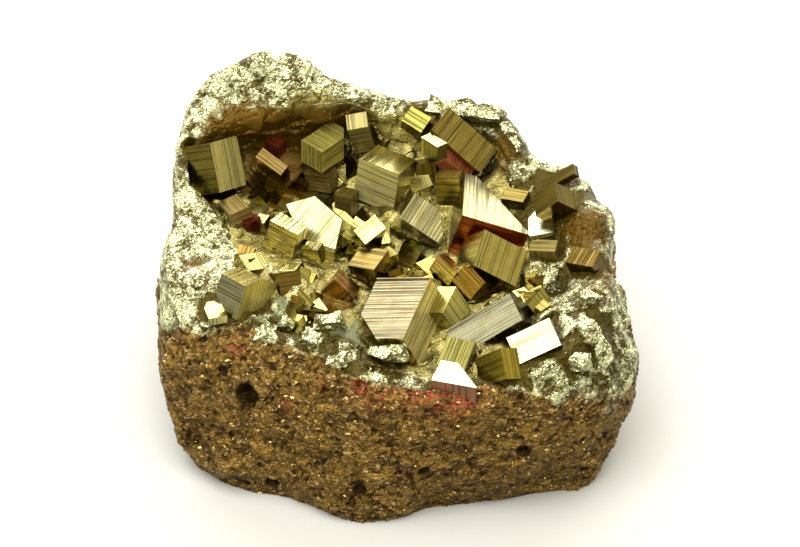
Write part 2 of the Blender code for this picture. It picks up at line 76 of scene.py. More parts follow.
# The large crystals: pyrite cubes and blocks that grew into the hollow. Growth in thin layers left
# fine parallel ridges on their faces, running a different way on each of the three pairs.
# Each is written as a drawing of the lump shows it: (name, how far its nearest corner lies to the
# right and up, height of that corner, directions of the three edges that leave it, their lengths,
# cuts). A cut names a corner by 0 or 1 along each edge and gives the distances at which it crosses
# the three edges there, or 0 where it runs along one.
CRYSTALS = (
    ("tall_left", -31.0, 42.0, 38.0, (281, 18, 188), (8.4, 8.2, 5.0), ()),
    ("gold_lozenge", -19.3, 36.7, 32.0, (144, 52, 280), (5.3, 2.0, 7.5), ()),
    ("red_facet", -20.0, 41.2, 32.0, (150, 45, 275), (2.6, 2.3, 2.6), ()),
    ("low_left", -27.7, 30.0, 31.0, (133, 25, 288), (5.4, 3.6, 2.5), ()),
    ("lip_red", -24.2, 28.7, 30.0, (160, 35, 280), (4.3, 2.4, 2.0), ()),
    ("gold_sliver", -16.7, 36.0, 28.5, (220, 60, 320), (5.1, 2.1, 2.0), ()),
    ("gold_bit", -20.7, 33.0, 28.5, (190, 60, 300), (2.6, 2.0, 2.0), ()),
    ("dark_step", -11.5, 36.7, 30.0, (172, 280, 50), (4.5, 3.5, 3.0), ()),
    ("dark_step_low", -7.8, 32.8, 29.5, (165, 272, 45), (3.0, 4.0, 3.0), ()),
    ("grooved_back", -12.5, 40.5, 35.0, (150, 35, 270), (4.7, 7.3, 4.5), (((0, 1, 0), (1.7, 1.9, 0)),)),
    ("smooth_back", -4.8, 44.8, 38.0, (190, 288, 97), (3.5, 7.5, 3.0), ()),
    ("broad_cube", 0.3, 36.8, 34.0, (157, 261, 38), (7.7, 7.8, 6.0), ()),
    ("striped_back", 4.0, 43.8, 37.0, (148, 55, 262), (3.9, 3.2, 8.0), ()),
    ("ridge_cube", 5.7, 44.2, 38.5, (319, 52, 195), (10.9, 5.0, 7.0), (((1, 0, 1), (5.4, 3.0, 6.5)),)),
    ("pink_face", 8.0, 39.2, 33.5, (73, 327, 200), (2.6, 5.8, 3.0), ()),
    ("dull_block", 10.3, 36.3, 32.5, (180, 274, 60), (4.1, 5.3, 6.5), ()),
    ("rim_plate", 16.7, 45.8, 38.5, (172, 80, 300), (12.0, 2.6, 5.0), ()),
    ("rim_plate_low", 19.8, 40.8, 35.5, (122, 30, 250), (5.1, 1.5, 4.0), ()),
    (
        "bright_plate", -7.4, 27.8, 30.4, (230, 139, 327), (6.3, 11.8, 5.0),
        (
            ((0, 0, 0), (4.3, 2.4, 0)), ((0, 1, 0), (4.2, 3.0, 0)), ((1, 1, 0), (2.2, 5.1, 0)),
            ((1, 0, 0), (2.0, 2.9, 0)),
        ),
    ),
    ("left_cube", -16.3, 26.8, 32.0, (153, 254, 40), (5.4, 5.8, 3.6), ()),
    ("grey_sliver", -22.0, 28.7, 29.5, (170, 288, 55), (2.0, 3.7, 2.0), ()),
    ("small_bright", -5.2, 25.2, 29.5, (38, 130, 250), (4.5, 3.0, 6.0), ()),
    ("little_white", -10.0, 27.5, 29.0, (322, 63, 226), (2.8, 1.9, 2.5), ()),
    ("dark_roof", 0.5, 29.7, 31.8, (326, 58, 222), (7.7, 5.0, 7.0), (((1, 1, 0), (2.7, 3.5, 0)),)),
    ("gold_mid", -3.8, 21.0, 28.8, (170, 55, 290), (5.2, 4.9, 3.4), ()),
    ("olive_mid", -2.0, 22.8, 28.0, (142, 22, 268), (2.6, 2.9, 2.4), ()),
    ("green_mid", 2.8, 24.5, 28.0, (145, 247, 22), (2.3, 3.8, 2.8), ()),
    ("gold_wedge", -13.2, 24.2, 29.0, (172, 288, 50), (3.2, 3.4, 2.0), ()),
    ("gold_wedge_low", -10.3, 24.0, 28.0, (165, 262, 45), (2.2, 3.3, 2.8), ()),
    ("pale_wedge", 9.8, 20.5, 28.5, (135, 238, 10), (4.7, 3.0, 2.2), ()),
    ("great_slab", 10.8, 30.0, 34.0, (344, 86, 248), (11.5, 12.0, 8.1), (((1, 1, 0), (9.4, 11.4, 0)),)),
    ("under_slab", 12.5, 21.8, 31.0, (72, 333, 200), (6.6, 8.7, 6.4), ()),
    ("stepped_cube", 14.5, 19.0, 28.8, (133, 229, 340), (5.0, 4.0, 6.5), ()),
    (
        "great_front", 1.0, 9.8, 29.0, (66, 181, 302), (13.3, 10.3, 7.8),
        (((0, 1, 0), (5.5, 5.1, 0)), ((1, 0, 1), (4.0, 0, 3.5))),
    ),
    ("mid_olive", 7.5, 14.0, 28.9, (63, 305, 180), (5.6, 8.2, 3.6), ()),
    ("long_bar", 20.5, 12.8, 30.0, (210, 116, 341), (12.4, 5.0, 6.0), ()),
    ("second_bar", 26.7, 8.8, 30.0, (205, 114, 324), (7.7, 4.9, 7.7), ()),
    ("gold_front", 17.7, 3.3, 27.4, (100, 203, 0), (5.2, 6.6, 3.4), ()),
    ("front_olive", 11.0, 4.6, 24.7, (68, 168, 295), (5.4, 5.0, 3.4), ()),
    ("front_plate", 12.9, 1.8, 26.0, (170, 62, 270), (7.7, 5.8, 4.0), (((0, 1, 0), (4.8, 5.6, 0)),)),
    ("brown_small", -10.3, 19.5, 29.4, (317, 60, 222), (4.5, 3.7, 3.5), ()),
    (
        "left_pair", -24.8, 18.3, 34.6, (255, 152, 22), (6.3, 4.9, 11.0),
        (((0, 0, 1), (2.8, 0, 6.0)), ((1, 1, 0), (2.5, 3.0, 0))),
    ),
    ("left_white", -30.7, 13.0, 29.4, (10, 115, 272), (3.1, 4.7, 1.4), (((0, 1, 0), (0.8, 1.5, 0)),)),
    ("low_gold", -21.5, 10.8, 29.2, (95, 215, 332), (2.5, 2.8, 3.1), ()),
    ("brown_disc", -18.0, 12.3, 27.5, (90, 205, 325), (2.0, 2.5, 2.4), ()),
    ("nugget_top", -9.3, 12.3, 28.0, (188, 75, 300), (5.5, 2.2, 1.9), ()),
    ("nugget_mid", -8.7, 6.3, 27.8, (195, 80, 305), (3.1, 2.1, 1.9), ()),
    ("nugget_front", 0.7, 7.2, 27.5, (184, 78, 300), (6.1, 2.4, 2.2), ()),
    ("nugget_left", -13.5, 9.0, 28.3, (170, 50, 280), (3.0, 3.2, 2.4), ()),
    (
        "white_right", 25.8, 27.2, 31.0, (190, 90, 286), (4.2, 7.0, 3.8),
        (((0, 1, 0), (2.5, 3.5, 0)), ((1, 1, 0), (1.5, 2.1, 0))),
    ),
    ("right_panel", 26.5, 32.3, 35.4, (336, 100, 215), (9.5, 4.0, 5.1), ()),
    ("upper_bar", 29.4, 36.9, 34.9, (207, 100, 330), (7.6, 2.0, 1.4), ()),
    ("right_striped", 32.0, 21.5, 31.2, (170, 300, 60), (5.4, 5.6, 3.4), ()),
    ("little_roof", 25.8, 18.8, 28.0, (325, 90, 210), (3.0, 3.2, 2.5), ()),
    ("olive_stub", 31.0, 16.5, 31.0, (18, 155, 272), (2.8, 2.0, 2.5), ()),
    ("ledge_right", 20.8, 32.2, 31.5, (170, 60, 285), (4.0, 2.7, 2.7), ()),
    ("under_white", 26.0, 24.0, 29.5, (178, 75, 290), (4.6, 2.4, 3.1), ()),
    ("gold_ball", 30.0, 5.7, 28.5, (150, 30, 270), (2.7, 2.7, 2.4), ()),
    ("ridge_white", 6.7, 41.3, 38.5, (148, 25, 270), (4.2, 2.1, 3.0), ()),
)
# Crystals whose ridges run the other way round the three pairs of faces.
TURNED = {
    "great_front", "ridge_cube", "great_slab", "dark_roof", "left_pair", "right_panel", "mid_olive",
    "gold_front",
}
# Crystals with ridges bold enough to break their reflections into bands.
BOLD = {
    "great_front", "striped_back", "left_cube", "upper_bar", "right_striped", "grooved_back",
    "small_bright",
}
# Plates torn and crumpled while the lump was broken out. They aren't striated: see further down.
TORN = {
    "nugget_top", "nugget_mid", "nugget_front", "nugget_left", "rim_plate", "rim_plate_low",
    "gold_ball", "olive_stub", "brown_disc", "low_gold", "little_roof",
}
# The metal's colour, and those of crystals that differ from it. The red ones are under a film of
# tarnish; the others are paler, darker or browner as painted light and shade, and as a painted
# reflection of the brown lump around them.
GOLD = "#ABA36C"
TINTS_AND_PAINTED_LIGHT = {
    "tall_left": "#625A2C",
    "broad_cube": "#A29A64",
    "great_slab": "#88825E",
    "bright_plate": "#8E8A68",
    "front_plate": "#A8A48A",
    "white_right": "#ABA788",
    "dark_roof": "#8A8460",
    "mid_olive": "#A09A5C",
    "great_front": "#B8AC6C",
    "long_bar": "#5C5A46",
    "second_bar": "#9A9478",
    "left_pair": "#B0A45C",
    "left_cube": "#BCB47A",
    "gold_lozenge": "#4E4022",
    "low_left": "#74643A",
    "lip_red": "#7A3424",
    "red_facet": "#5E2416",
    "pink_face": "#A8603E",
    "gold_sliver": "#625224",
    "gold_bit": "#56481E",
    "dark_step": "#5E5026",
    "dark_step_low": "#5E5026",
    "smooth_back": "#7E7442",
    "dull_block": "#8A7C3A",
    "grooved_back": "#9C9248",
    "brown_small": "#94703C",
    "right_panel": "#6E6232",
    "right_striped": "#5A4A1E",
    "upper_bar": "#665A30",
    "ledge_right": "#665A2C",
    "under_white": "#7A6E3A",
    "gold_front": "#94863A",
    "stepped_cube": "#7A6028",
    "gold_mid": "#6A5C30",
    "olive_mid": "#6A6232",
    "green_mid": "#8E8C4A",
    "front_olive": "#5E5A30",
    "ridge_cube": "#7C6E3C",
    "under_slab": "#988E54",
}
# Colours of one pair of a crystal's faces, by the edge that they are square to: painted shade on
# that side, and painted light on tall_left's. On great_slab's underside it is a red film of tarnish
# and painted shade both.
FACE_TINTS_AND_PAINTED_LIGHT = {
    ("great_slab", 1): "#A05A3A",
    ("long_bar", 1): "#6A5430",
    ("second_bar", 1): "#6A562C",
    ("great_front", 2): "#706850",
    ("tall_left", 2): "#B8AC68",
    ("left_pair", 2): "#7A765A",
    ("front_plate", 1): "#6E4A30",
    ("striped_back", 2): "#6E6A34",
}
# Crystals with dulled faces, which scatter the light too, by the edges that those are square to.
ALL_FACES = (0, 1, 2)
DULLED = {
    "tall_left": (2,), "great_front": (1,), "left_pair": (1,), "broad_cube": (2,), "mid_olive": (2,),
    "front_plate": (1,), "dull_block": (0, 1), "pink_face": ALL_FACES, "red_facet": ALL_FACES,
    "grooved_back": ALL_FACES, "smooth_back": ALL_FACES, "low_left": ALL_FACES,
    "dark_step": ALL_FACES, "dark_step_low": ALL_FACES, "under_white": ALL_FACES,
}
# Ridges are nearly level (RIDGE_TILT, degrees) and part at narrow, steeper steps. Bold ones have
# wider and steeper steps. None goes deeper than RIDGE_DEPTH, and a margin along each edge is flat.
RIDGE_WIDTH = (0.1, 0.42)
RIDGE_TILT = 0.5
STEP_WIDTH = (0.03, 0.1)
STEP_SLOPE = (2.0, 9.0)
BOLD_STEP_WIDTH = (0.06, 0.2)
BOLD_STEP_SLOPE = (5.0, 16.0)
RIDGE_DEPTH = 0.12
FLAT_MARGIN = 0.2
RIDGES_SEED = 11
# Set the patterns on different crystals, and on the three pairs of one's faces, this far apart.
NEXT_CRYSTAL = 7.7
NEXT_FACE = 31.3


def edge_directions(drawn):
    """The three directions, square to each other, that the drawing shows at these angles."""
    away = -towards_camera
    angles = [math.radians(angle) for angle in drawn]
    first, second, third = (-math.cos(angles[i] - angles[j]) for i, j in ((1, 2), (0, 2), (0, 1)))
    slopes = (second * third / first, first * third / second, first * second / third)
    directions = []
    for angle, slope in zip(angles, slopes):
        along_drawing = Vector((math.cos(angle), 0, 0)) + up_in_picture * math.sin(angle)
        directions.append((along_drawing + away * math.sqrt(slope)).normalized())
    return directions


def corner_place(right, up, height):
    """The place of a corner that the drawing shows at (right, up) and that lies at a height."""
    return Vector((right, (up - height * math.cos(rise)) / math.sin(rise), height))


def ridges(length, bold, chance):
    """The steps of one striated face: (place, depth) from one end of it to the other."""
    place = FLAT_MARGIN
    depth = 0.0
    turns = [(place, depth)]
    while place < length - FLAT_MARGIN - RIDGE_WIDTH[1] - BOLD_STEP_WIDTH[1]:
        flat = chance.uniform(*RIDGE_WIDTH)
        step = chance.uniform(*(BOLD_STEP_WIDTH if bold else STEP_WIDTH))
        slope = chance.choice((-1, 1)) * chance.uniform(*(BOLD_STEP_SLOPE if bold else STEP_SLOPE))
        for run, angle in ((flat, chance.gauss(0.0, RIDGE_TILT)), (step, slope)):
            change = run * math.tan(math.radians(angle))
            if not 0 <= depth + change <= RIDGE_DEPTH:
                change = -change
            place += run
            depth = min(RIDGE_DEPTH, max(0.0, depth + change))
            turns.append((place, depth))
    turns.append((max(place, length - FLAT_MARGIN), 0.0))
    return turns


def ridge_lines(bm, size, turn, bold, chance):
    """The ends of the ridges, as lines of points along a block's edges.

    A line is filed by the axis that it runs along and the corner of the block that it starts from.
    """
    lines = {}
    for normal, end in itertools.product(range(3), (0, 1)):
        along = (normal + turn) % 3
        across = (normal - turn) % 3
        turns = ridges(size[across], bold, chance)
        for side in (0, 1):
            line = []
            for place, depth in turns:
                point = [0.0, 0.0, 0.0]
                point[across] = place
                point[along] = size[along] * side
                point[normal] = size[normal] - depth if end else depth
                line.append(bm.verts.new(point))
            corner = [0, 0, 0]
            corner[normal] = end
            corner[along] = side
            lines[across, tuple(corner)] = line
    return lines


def striated_block(size, turn, bold, chance):
    """A block from the origin to size, with ridges on its six faces.

    The ridges on a face square to one axis run along the axis that is turn steps on.
    """
    bm = bmesh.new()
    corners = {}
    for ends in itertools.product((0, 1), repeat=3):
        corners[ends] = bm.verts.new([length * end for length, end in zip(size, ends)])
    lines = ridge_lines(bm, size, turn, bold, chance)
    for normal, end in itertools.product(range(3), (0, 1)):
        along = (normal + turn) % 3
        across = (normal - turn) % 3
        corner = [0, 0, 0]
        corner[normal] = end
        near = lines[across, tuple(corner)]
        corner[along] = 1
        far = lines[across, tuple(corner)]
        for i in range(len(near) - 1):
            bm.faces.new((near[i], near[i + 1], far[i + 1], far[i]))
        for side, outermost in ((0, 0), (1, -1)):
            corner = [0, 0, 0]
            corner[normal] = end
            corner[across] = side
            first = corners[tuple(corner)]
            line = lines[along, tuple(corner)]
            corner[along] = 1
            last = corners[tuple(corner)]
            bm.faces.new([first, *line, last, far[outermost], near[outermost]])
    bmesh.ops.recalc_face_normals(bm, faces=bm.faces)
    return bm


def cut_block(bm, size, cuts):
    """Take corners or edges off a block."""
    for corner, distances in cuts:
        ends = zip(corner, distances)
        outward = Vector([(1 if end else -1) / far if far else 0.0 for end, far in ends])
        tip = Vector([length * end for length, end in zip(size, corner)])
        on_plane = tip - outward / outward.length_squared
        geometry = bm.verts[:] + bm.edges[:] + bm.faces[:]
        cut = bmesh.ops.bisect_plane(
            bm, geom=geometry, plane_co=on_plane, plane_no=outward, clear_outer=True
        )
        rim = [item for item in cut["geom_cut"] if isinstance(item, bmesh.types.BMEdge)]
        bmesh.ops.contextual_create(bm, geom=rim)


def note_looks(bm, turn, number, tints, dulled=()):
    """Note what the material reads at the corners of each face.

    grooves: how far a corner lies across and along the ridges; tint: the face's colour, in which
    large crystals carry painted light and shade; dulled: 1 on a dulled face.
    """
    grooves = bm.loops.layers.float_vector.new("grooves")
    tint = bm.loops.layers.float_vector.new("tint")
    dull = bm.loops.layers.float.new("dulled")
    for face in bm.faces:
        normal = max(range(3), key=lambda axis: abs(face.normal[axis]))
        shift = number * NEXT_CRYSTAL + normal * NEXT_FACE
        for loop in face.loops:
            place = loop.vert.co
            loop[grooves] = (place[(normal - turn) % 3], place[(normal + turn) % 3], shift)
            loop[tint] = tints[normal]
            loop[dull] = normal in dulled


def linear(hex_colour):
    """An sRGB hex colour as linear red, green and blue."""
    values = [int(hex_colour[i : i + 2], 16) / 255 for i in (1, 3, 5)]
    return [v / 12.92 if v <= 0.04045 else ((v + 0.055) / 1.055) ** 2.4 for v in values]


def add_node(tree, kind, inputs, **settings):
    """Add a shader node with its settings. An input takes a link, a number or an sRGB hex colour."""
    node = tree.nodes.new("ShaderNode" + kind)
    for name, value in settings.items():
        setattr(node, name, value)
    for key, value in inputs.items():
        if isinstance(value, bpy.types.NodeSocket):
            tree.links.new(value, node.inputs[key])
        else:
            node.inputs[key].default_value = (*linear(value), 1) if isinstance(value, str) else value
    return node


# Some inputs are given by number, because names repeat. Of a MapRange, 0 is the value, 1 and 2 are
# what it runs between, and 3 and 4 what that becomes: 0 and 1, where they aren't given. Of a Mix, 0
# is the share of the second, and the two are 2 and 3 for numbers, 4 and 5 for vectors, 6 and 7 for
# colours.
# Hair lines on the crystals: a pattern squeezed to 0.28 mm across them and drawn out to 17 mm along.
SQUEEZE = (3.6, 0.06, 1.0)
# A bloom of a browner film, in patches of 2 mm.
BLOOM_PER_MM = 0.5
BLOOM = (0.86, 0.8, 0.64)
# A dulled face is partly film, which scatters, and partly metal.
DULLED_METALLIC = 0.55


def crystal_material():
    """Crystal faces of pyrite: a brassy metal, painted lighter between hair-fine growth lines and darker
    in them.

    The eye sees the lights mirrored in bands, broken up by the lines.
    """
    material = bpy.data.materials.new("pyrite crystal")
    material.use_nodes = True
    tree = material.node_tree
    shader = tree.nodes["Principled BSDF"]
    grooves = add_node(tree, "Attribute", {}, attribute_name="grooves").outputs["Vector"]
    tint = add_node(tree, "Attribute", {}, attribute_name="tint").outputs["Vector"]
    dulled = add_node(tree, "Attribute", {}, attribute_name="dulled").outputs["Fac"]
    metallic = add_node(tree, "MapRange", {0: dulled, 3: 1.0, 4: DULLED_METALLIC}).outputs[0]
    tree.links.new(metallic, shader.inputs["Metallic"])
    # The hair lines are painted darker and the metal between them a little lighter: painted shade and
    # light. The lines are also a little rougher and lower.
    drawn_out = add_node(tree, "VectorMath", {0: grooves, 1: SQUEEZE}, operation="MULTIPLY").outputs[0]
    lines = add_node(tree, "TexNoise", {"Vector": drawn_out, "Scale": 1.0, "Detail": 2.0}).outputs[0]
    shade = add_node(tree, "MapRange", {0: lines, 1: 0.4, 2: 0.52, 3: 0.5, 4: 1.1}).outputs[0]
    rough = add_node(tree, "MapRange", {0: lines, 3: 0.3, 4: 0.14}).outputs[0]
    tree.links.new(rough, shader.inputs["Roughness"])
    bump = add_node(tree, "Bump", {"Strength": 0.3, "Distance": 0.05 * MM, "Height": lines})
    tree.links.new(bump.outputs[0], shader.inputs["Normal"])
    # The bloom keeps a face from being one even tone.
    patches = {"Vector": grooves, "Scale": BLOOM_PER_MM, "Detail": 3.0}
    bloom = add_node(tree, "TexNoise", patches).outputs[0]
    share = add_node(tree, "MapRange", {0: bloom, 1: 0.45, 2: 0.7, 4: 0.8}).outputs[0]
    browner = add_node(tree, "VectorMath", {0: tint, 1: BLOOM}, operation="MULTIPLY").outputs[0]
    bloomed = add_node(tree, "Mix", {0: share, 4: tint, 5: browner}, data_type="VECTOR").outputs[1]
    colour = add_node(tree, "VectorMath", {0: bloomed, "Scale": shade}, operation="SCALE").outputs[0]
    tree.links.new(colour, shader.inputs["Base Color"])
    return material


def joined(blocks):
    """One mesh of many."""
    whole = bmesh.new()
    whole.loops.layers.float_vector.new("grooves")
    whole.loops.layers.float_vector.new("tint")
    whole.loops.layers.float.new("dulled")
    scratch = bpy.data.meshes.new("one block")
    for block in blocks:
        block.to_mesh(scratch)
        block.free()
        whole.from_mesh(scratch)
    bpy.data.meshes.remove(scratch)
    mesh = bpy.data.meshes.new("joined")
    whole.to_mesh(mesh)
    whole.free()
    return mesh


def to_object(name, mesh, material):
    """A finished piece: from millimetres to metres, over the origin, with its material."""
    mesh.transform(Matrix.Scale(MM, 4) @ Matrix.Translation(-MIDDLE_OF_OUTLINE))
    mesh.materials.append(material)
    piece = bpy.data.objects.new(name, mesh)
    bpy.context.scene.collection.objects.link(piece)
    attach(piece, "root")
    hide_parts("pyrite_cluster")


def large_crystals():
    """Every large crystal but the torn ones, in its place."""
    chance = random.Random(RIDGES_SEED)
    for number, (name, right, up, height, drawn, size, cuts) in enumerate(CRYSTALS):
        if name in TORN:
            continue
        turn = -1 if name in TURNED else 1
        # The tints paint light and shade on a crystal, and on single pairs of its faces.
        own = TINTS_AND_PAINTED_LIGHT.get(name, GOLD)
        tints = [Vector(linear(FACE_TINTS_AND_PAINTED_LIGHT.get((name, axis), own))) for axis in range(3)]
        bm = striated_block(size, turn, name in BOLD, chance)
        cut_block(bm, size, cuts)
        note_looks(bm, turn, number, tints, DULLED.get(name, ()))
        axes = Matrix(edge_directions(drawn)).transposed()
        place = Matrix.Translation(corner_place(right, up, height)) @ axes.to_4x4()
        bmesh.ops.transform(bm, matrix=place, verts=bm.verts)
        bmesh.ops.recalc_face_normals(bm, faces=bm.faces)
        yield bm


MIDDLE_OF_OUTLINE = Vector((0.0, 3.0, 0.0))
pyrite_crystal = crystal_material()
to_object("large_crystals", joined(large_crystals()), pyrite_crystal)

# The lump: granular pyrite, millions of grains grown into one mass, broken off its bed and cut flat
# underneath. Its wall is dull and brown with glints, its crest a bright crust, its hollow smoother
# metal. It is made as one mesh and parted in those three.
# The form is read by compass bearing, degrees from +X towards +Y. At each bearing the outside climbs
# from the foot over the belly and the brow to the crest; from there a slope leads in to the lip,
# and the hollow falls from the lip to its floor.
# (bearing, foot radius, then radius and height of belly, brow, crest, lip and floor)
STONE_PROFILES = (
    (-173, 35.5, 39.2, 18, 38.6, 24.5, 36.5, 29.0, 31.0, 30.4, 24, 29.3),
    (-158, 37.0, 40.6, 12, 38.6, 21.5, 35.5, 26.5, 30.0, 29.6, 23, 28.5),
    (-147, 37.0, 38.8, 6, 35.2, 20.0, 30.0, 26.5, 25.0, 28.5, 20, 27.0),
    (-131, 32.6, 33.6, 6, 31.0, 20.5, 28.0, 25.5, 23.0, 27.5, 18, 26.5),
    (-116, 31.0, 32.3, 6, 29.3, 20.5, 27.0, 25.0, 22.0, 27.0, 16, 26.0),
    (-101, 32.0, 32.6, 4, 29.8, 19.5, 27.0, 25.2, 23.5, 25.8, 17, 24.8),
    (-82, 29.0, 30.8, 8, 30.0, 19.8, 27.6, 24.2, 24.4, 24.4, 18, 24.3),
    (-64, 29.8, 33.0, 9, 32.5, 19.8, 30.3, 24.8, 27.4, 24.9, 20, 24.3),
    (-50, 32.5, 37.0, 10, 37.0, 19.0, 35.0, 24.5, 31.0, 27.5, 24, 26.0),
    (-36, 38.5, 41.0, 9, 41.0, 19.0, 37.5, 25.5, 33.0, 28.5, 25, 26.5),
    (-21, 37.0, 42.2, 14, 41.0, 20.5, 38.0, 26.5, 33.5, 29.0, 26, 27.0),
    (-8, 34.0, 38.6, 18, 38.0, 23.0, 36.5, 27.5, 33.0, 29.5, 26, 27.0),
    (5, 32.0, 36.4, 20, 36.0, 24.5, 35.0, 28.5, 31.5, 30.0, 25, 28.0),
    (20, 33.0, 36.8, 20, 37.2, 27.0, 36.0, 30.5, 32.5, 32.0, 24, 29.0),
    (36, 33.0, 37.0, 18, 37.0, 28.0, 35.5, 32.5, 31.5, 33.0, 23, 30.0),
    (46, 33.0, 36.0, 18, 34.5, 29.5, 31.8, 34.0, 28.5, 34.0, 23, 29.5),
    (60, 33.0, 36.5, 18, 36.5, 32.0, 34.2, 37.3, 30.5, 36.5, 25, 29.5),
    (76, 33.0, 36.0, 18, 35.5, 33.0, 32.3, 38.2, 29.0, 37.0, 24, 30.0),
    (92, 32.0, 35.5, 18, 35.5, 33.0, 31.8, 38.5, 28.0, 37.0, 23, 30.0),
    (106, 35.0, 38.5, 20, 38.0, 36.0, 33.6, 41.5, 29.5, 39.5, 28, 28.5),
    (120, 38.0, 42.5, 20, 43.0, 37.0, 38.5, 46.0, 31.5, 39.5, 30, 27.5),
    (135, 41.0, 46.0, 20, 47.3, 34.0, 46.2, 40.5, 37.0, 38.5, 34, 28.0),
    (148, 39.0, 42.5, 18, 43.0, 30.0, 42.5, 35.0, 40.0, 35.0, 37, 29.0),
    (160, 37.0, 39.5, 18, 39.3, 26.0, 38.5, 30.0, 35.5, 31.0, 29, 29.5),
)
MIDDLE_HEIGHT = 25.0
# Lumps and hollows that stand out from a step away: (x, y, z, reach, height), a hollow below zero.
STONE_SWELLS = (
    (-15.0, -20.5, 20.0, 4.5, -2.2),
    (-14.0, -24.0, 8.0, 5.0, -1.0),
    (-33.0, 2.0, 31.0, 4.0, -1.8),
    (31.0, -17.0, 27.5, 5.0, 1.8),
    (35.0, -12.0, 25.0, 3.5, -1.4),
    (33.0, 9.0, 31.0, 5.0, 1.2),
    (-20.0, 29.0, 45.0, 6.0, 1.4),
    (-8.0, 24.0, 40.0, 4.0, 1.6),
    (-20.0, -11.0, 28.5, 4.5, -1.6),
)
# Smaller lumps lie all over, in two sizes. Above the foot, nothing comes nearer the table than
# LEAST_HEIGHT.
LUMP_SPACING = (7.0, 3.4)
LUMP_HEIGHT = (1.1, 0.5)
LEAST_HEIGHT = 0.4
# The form has points at this many bearings, and this many rings of them in each span of the
# profile. LAST is the profile's last point. A point's normal is felt out with short steps.
FORM_BEARINGS = 240
FORM_RINGS_PER_SPAN = 8
LAST = 6
STEP_ALONG = 0.05


def between(p0, p1, p2, p3, share):
    """A smooth curve through p1 (share 0) and p2 (share 1), with p0 and p3 as neighbours."""
    return 0.5 * (
        2 * p1
        + (p2 - p0) * share
        + (2 * p0 - 5 * p1 + 4 * p2 - p3) * share**2
        + (3 * p1 - p0 - 3 * p2 + p3) * share**3
    )


def profile_at(bearing):
    """The stone's seven profile points (radius, height) at a bearing, foot first, middle last."""
    count = len(STONE_PROFILES)
    after = next((i for i, row in enumerate(STONE_PROFILES) if row[0] > bearing), 0)
    rows = [STONE_PROFILES[(after + shift) % count] for shift in (-2, -1, 0, 1)]
    span = (rows[2][0] - rows[1][0]) % 360
    share = ((bearing - rows[1][0]) % 360) / span
    foot, *others = [between(*(row[i] for row in rows), share) for i in range(1, len(rows[0]))]
    return [(foot, 0.0), *zip(others[0::2], others[1::2]), (0.0, MIDDLE_HEIGHT)]


def plain_point(bearing, along):
    """A point of the stone before its lumps: along runs from 0, the foot, to LAST, the middle."""
    profile = profile_at(bearing)
    span = min(int(along), LAST - 1)
    ends = [profile[max(0, min(LAST, span + shift))] for shift in (-1, 0, 1, 2)]
    radius, height = (between(*(end[i] for end in ends), along - span) for i in (0, 1))
    angle = math.radians(bearing)
    return Vector((radius * math.cos(angle), radius * math.sin(angle), height))


def spread(point, spots):
    """What soft round spots add up to at a point. Each is (x, y, z, reach, most)."""
    return sum(
        most * math.exp(-(((point - Vector(middle)).length / reach) ** 2))
        for *middle, reach, most in spots
    )


def lumps(point):
    """How far the stone stands out from its plain shape at a point, in millimetres."""
    sizes = zip(LUMP_SPACING, LUMP_HEIGHT)
    small = sum(tall * noise.noise(point / spacing) for spacing, tall in sizes)
    return small + spread(point, STONE_SWELLS)


def stone_point(bearing, along):
    """A point of the finished stone: the plain point moved along its normal by the lumps."""
    point = plain_point(bearing, along)
    if along >= LAST:
        return point + Vector((0, 0, lumps(point)))
    round_step = plain_point(bearing + 1, along) - plain_point(bearing - 1, along)
    above = plain_point(bearing, min(LAST, along + STEP_ALONG))
    below = plain_point(bearing, max(0, along - STEP_ALONG))
    normal = round_step.cross(above - below).normalized()
    moved = point + normal * lumps(point)
    if along == 0:
        moved.z = 0.0
    else:
        moved.z = max(moved.z, LEAST_HEIGHT)
    return moved


def stone_form():
    """The lump's plain form as a closed mesh, and where each of its points lies along the profile."""
    levels = [step / FORM_RINGS_PER_SPAN for step in range(LAST * FORM_RINGS_PER_SPAN)]
    bearings = [360 * i / FORM_BEARINGS - 180 for i in range(FORM_BEARINGS)]
    places = [(bearing, along) for along in levels for bearing in bearings]
    points = [stone_point(*place) for place in places]
    places.append((0.0, float(LAST)))
    points.append(stone_point(0.0, float(LAST)))
    faces = []
    for ring in range(len(levels) - 1):
        for i in range(FORM_BEARINGS):
            low = ring * FORM_BEARINGS
            high = low + FORM_BEARINGS
            j = (i + 1) % FORM_BEARINGS
            faces.append((low + i, low + j, high + j, high + i))
    last_ring = (len(levels) - 1) * FORM_BEARINGS
    for i in range(FORM_BEARINGS):
        faces.append((last_ring + i, last_ring + (i + 1) % FORM_BEARINGS, len(points) - 1))
    faces.append(tuple(reversed(range(FORM_BEARINGS))))
    mesh = bpy.data.meshes.new("stone form")
    mesh.from_pydata(points, [], faces)
    return mesh, points, places


def even_mesh(form, spacing):
    """The same form in even squares, this far apart."""
    helper = bpy.data.objects.new("stone form", form)
    bpy.context.scene.collection.objects.link(helper)
    remesh = helper.modifiers.new("even squares", "REMESH")
    remesh.mode = "VOXEL"
    remesh.voxel_size = spacing
    depsgraph = bpy.context.evaluated_depsgraph_get()
    mesh = bpy.data.meshes.new_from_object(helper.evaluated_get(depsgraph))
    bpy.data.objects.remove(helper)
    return mesh


def reach_at(bearing, table):
    """The value at a bearing, in between those that the table gives."""
    bearings = [row[0] for row in table]
    values = [row[1] for row in table]
    return np.interp(bearing, bearings, values, period=360)


def ease(value, width):
    """0 below the middle of a border, 1 above it, and a ramp of this width between."""
    return min(1.0, max(0.0, value / width + 0.5))


# The lump's mesh has squares of GRID. Those that face down onto the table are its flat cut. Above
# FOOT_HEIGHT the relief brings no point closer to the table than LEAST_RISE.
GRID = 0.32
FACING_DOWN = -0.5
FOOT_HEIGHT = 0.5
LEAST_RISE = 0.02
